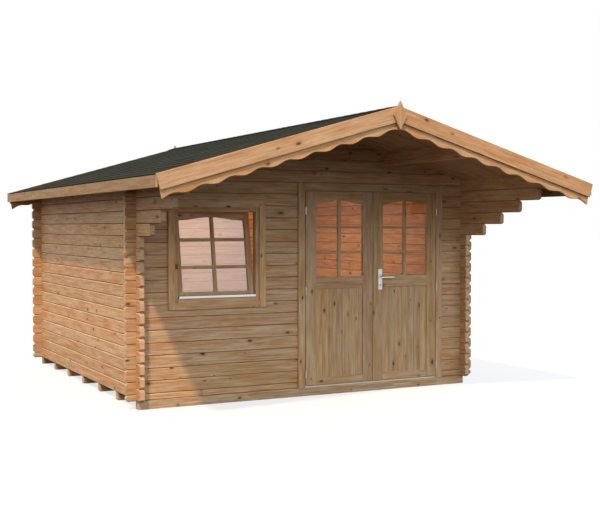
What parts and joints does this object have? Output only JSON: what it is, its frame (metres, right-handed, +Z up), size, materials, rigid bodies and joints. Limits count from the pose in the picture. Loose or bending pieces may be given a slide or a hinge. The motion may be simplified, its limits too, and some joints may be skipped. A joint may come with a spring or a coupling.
{
  "type": "log cabin",
  "caption": "Garden log cabin of interlocking logs with crossed corners, a shingled gable roof with a deep front canopy, a glazed double door and a tilted window.",
  "frame": {"origin": "on the ground, at the middle of the whole footprint including the roof overhangs", "axes": "+X to the right of someone who faces the door, +Y to the rear along the ridge, +Z up"},
  "size_m": [4.3, 5.375, 2.7053],
  "materials": {
    "log_wood": "planed spruce, clear and knotty",
    "trim_wood": "planed spruce, clear and knotty",
    "joinery_wood": "planed pine joinery",
    "board_wood": "tongued and grooved spruce boards",
    "bearer_wood": "sawn, pressure-treated pine",
    "shingles": "mineral-faced bitumen shingles",
    "glass": "clear float glass",
    "steel": "satin steel",
    "aluminium": "natural anodised aluminium"
  },
  "bodies": {
    "cabin": {"floor_bearers": "bearer_wood", "floor_boards": "board_wood", "left_wall_logs": "log_wood", "right_wall_logs": "log_wood", "back_wall_logs": "log_wood", "back_gable_logs": "log_wood", "front_wall_left": "log_wood", "front_wall_right": "log_wood", "front_wall_over_door": "log_wood", "front_gable_logs": "log_wood", "ridge_purlin": "log_wood", "left_purlin": "log_wood", "right_purlin": "log_wood", "left_roof_boards": "board_wood", "right_roof_boards": "board_wood", "left_shingles": "shingles", "right_shingles": "shingles", "left_eave_fascia": "trim_wood", "right_eave_fascia": "trim_wood", "front_left_bargeboard": "trim_wood", "front_right_bargeboard": "trim_wood", "front_left_scalloped_board": "trim_wood", "front_right_scalloped_board": "trim_wood", "rear_bargeboards": "trim_wood", "rear_scalloped_boards": "trim_wood", "front_finial": "trim_wood", "rear_finial": "trim_wood", "window_frame": "joinery_wood", "window_casing": "joinery_wood", "window_sash": "joinery_wood", "window_glass": "glass", "window_drip_bar": "aluminium", "door_frame": "joinery_wood", "door_casing": "joinery_wood", "door_threshold": "aluminium", "door_hinge_posts": "steel"},
    "left_leaf": {"left_leaf_frame": "joinery_wood", "left_leaf_panel": "joinery_wood", "left_leaf_glass": "glass", "left_leaf_hinges": "steel"},
    "right_leaf": {"right_leaf_frame": "joinery_wood", "right_leaf_panel": "joinery_wood", "right_leaf_glass": "glass", "right_leaf_hinges": "steel", "handle_plates": "steel"},
    "lever": {"lever_handles": "steel"}
  },
  "joints": [
    {"name": "left_leaf_hinge", "type": "hinge", "parent": "cabin", "child": "left_leaf", "pos_m": [-0.093, -1.1535, 1], "axis": [0, 0, -1], "range_deg": [0, 100]},
    {"name": "right_leaf_hinge", "type": "hinge", "parent": "cabin", "child": "right_leaf", "pos_m": [1.433, -1.1535, 1], "axis": [0, 0, 1], "range_deg": [0, 100]},
    {"name": "lever_turn", "type": "hinge", "parent": "right_leaf", "child": "lever", "pos_m": [0.753, -1.1455, 1.144], "axis": [0, 1, 0], "range_deg": [0, 45], "stiffness_Nm_per_rad": 1.5, "springref_deg": -34.38}
  ]
}
